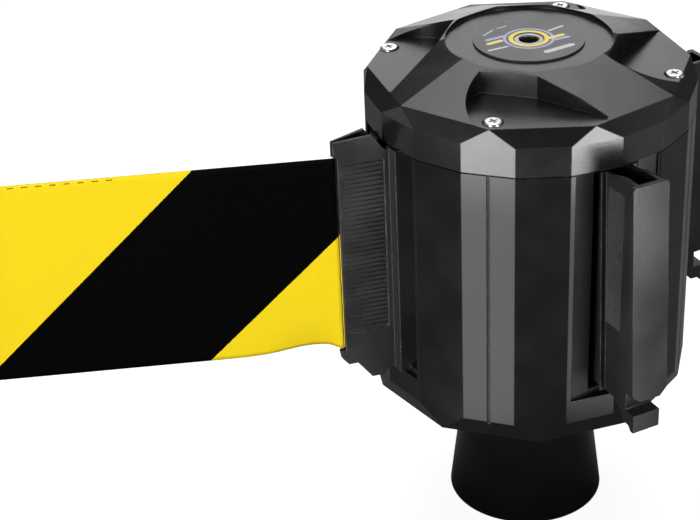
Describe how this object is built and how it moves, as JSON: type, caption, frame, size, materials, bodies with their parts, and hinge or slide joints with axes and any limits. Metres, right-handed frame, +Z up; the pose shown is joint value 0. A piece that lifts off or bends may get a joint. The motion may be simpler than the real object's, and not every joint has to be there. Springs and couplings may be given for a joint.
{
  "type": "retractable belt stanchion head",
  "caption": "Post-top head with a spring-wound retractable barrier belt, an end clip, belt receivers on the other sides and a flared collar for a post.",
  "frame": {"origin": "on the head's axis in the plane of the collar's lower mouth", "axes": "+Z up the head's axis; -X the side that the belt leaves; -Y, +X and +Y the receivers"},
  "size_m": [0.4157, 0.2092, 0.2485],
  "materials": {
    "gloss_black": "semi-gloss black moulding",
    "cap_black": "satin black moulding with spark-eroded grain",
    "fitting_black": "black moulding, scuffed",
    "inner_plastic": "plain moulding",
    "zinc_steel": "zinc plated",
    "turned_steel": "turned",
    "spring_steel": "blued strip",
    "sheet_steel": "plated sheet",
    "belt_webbing": "woven polyester, printed with slanting black stripes",
    "label_print": "printed foil, plain rings and bars",
    "bush_bronze": "sintered bronze"
  },
  "bodies": {
    "head": {"top_cap": "cap_black", "hub_insert": "turned_steel", "label_disc": "label_print", "cap_screws": "zinc_steel", "side_shell_outlet": "gloss_black", "side_shell_front": "gloss_black", "side_shell_right": "gloss_black", "side_shell_rear": "gloss_black", "corner_columns": "turned_steel", "bottom_cover": "inner_plastic", "cover_screws": "zinc_steel", "post_collar": "gloss_black", "collar_screws": "zinc_steel", "upper_plate": "sheet_steel", "drum_axle": "turned_steel", "axle_nut": "zinc_steel", "spring_arbor": "turned_steel", "power_spring": "spring_steel", "belt_inner_run": "belt_webbing", "roller_pins": "turned_steel", "belt_outlet": "fitting_black", "receiver_front": "fitting_black", "receiver_right": "fitting_black", "receiver_rear": "fitting_black"},
    "drum": {"drum_core": "inner_plastic", "drum_lower_flange": "inner_plastic", "drum_upper_flange": "inner_plastic", "lower_bush": "bush_bronze", "upper_bush": "bush_bronze", "belt_coil": "belt_webbing", "spring_cover": "inner_plastic"},
    "belt": {"belt_run": "belt_webbing", "clip_body": "fitting_black", "clip_cover": "fitting_black", "clip_pin": "turned_steel", "clip_screws": "zinc_steel"},
    "roller_front": {"guide_roller_front": "inner_plastic"},
    "roller_rear": {"guide_roller_rear": "inner_plastic"}
  },
  "joints": [
    {"name": "belt_pull", "type": "slide", "parent": "head", "child": "belt", "axis": [-0.9348, 0.3551, 0], "range_m": [-0.168, 0], "deforming": ["belt_run"]},
    {"name": "drum_spin", "type": "hinge", "parent": "head", "child": "drum", "pos_m": [0, 0, 0.15], "axis": [0, 0, 1], "range_deg": [-252, 0]},
    {"name": "front_roller_spin", "type": "hinge", "parent": "head", "child": "roller_front", "pos_m": [-0.069, -0.00455, 0.15], "axis": [0, 0, 1], "range_deg": [-2190, 0]},
    {"name": "rear_roller_spin", "type": "hinge", "parent": "head", "child": "roller_rear", "pos_m": [-0.069, 0.00455, 0.15], "axis": [0, 0, 1], "range_deg": [0, 2190]}
  ],
  "couplings": [
    {"joint": "drum_spin", "follows": "belt_pull", "rad_per_m": 25.94},
    {"joint": "front_roller_spin", "follows": "belt_pull", "rad_per_m": 227.27},
    {"joint": "rear_roller_spin", "follows": "belt_pull", "rad_per_m": -227.27}
  ]
}
